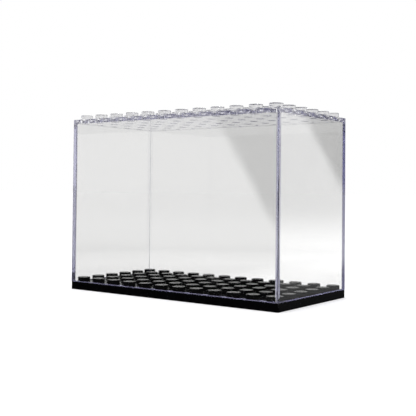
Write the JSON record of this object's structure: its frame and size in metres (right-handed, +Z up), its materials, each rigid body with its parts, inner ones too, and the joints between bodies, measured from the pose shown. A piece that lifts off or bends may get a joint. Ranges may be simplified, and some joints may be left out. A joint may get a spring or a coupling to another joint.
{
  "type": "stackable display case",
  "caption": "Stackable clear display case for small figures: a studded black base plate under a clear lift-off cover with matching studs on its top.",
  "frame": {"origin": "middle of the base plate's footprint, on the plane that the case stands on", "axes": "+X along the long side, +Y across the case towards its back, +Z up"},
  "size_m": [0.0958, 0.0478, 0.0688],
  "materials": {
    "black_plastic": "black moulded plastic, semi-gloss",
    "clear_plastic": "clear moulded polystyrene, polished, faintly violet through its edges"
  },
  "bodies": {
    "base": {"base_plate": "black_plastic"},
    "cover": {"clear_cover": "clear_plastic"}
  },
  "joints": [
    {"name": "cover_lift", "type": "slide", "parent": "base", "child": "cover", "axis": [0, 0, 1], "range_m": [0, 0.07]}
  ]
}
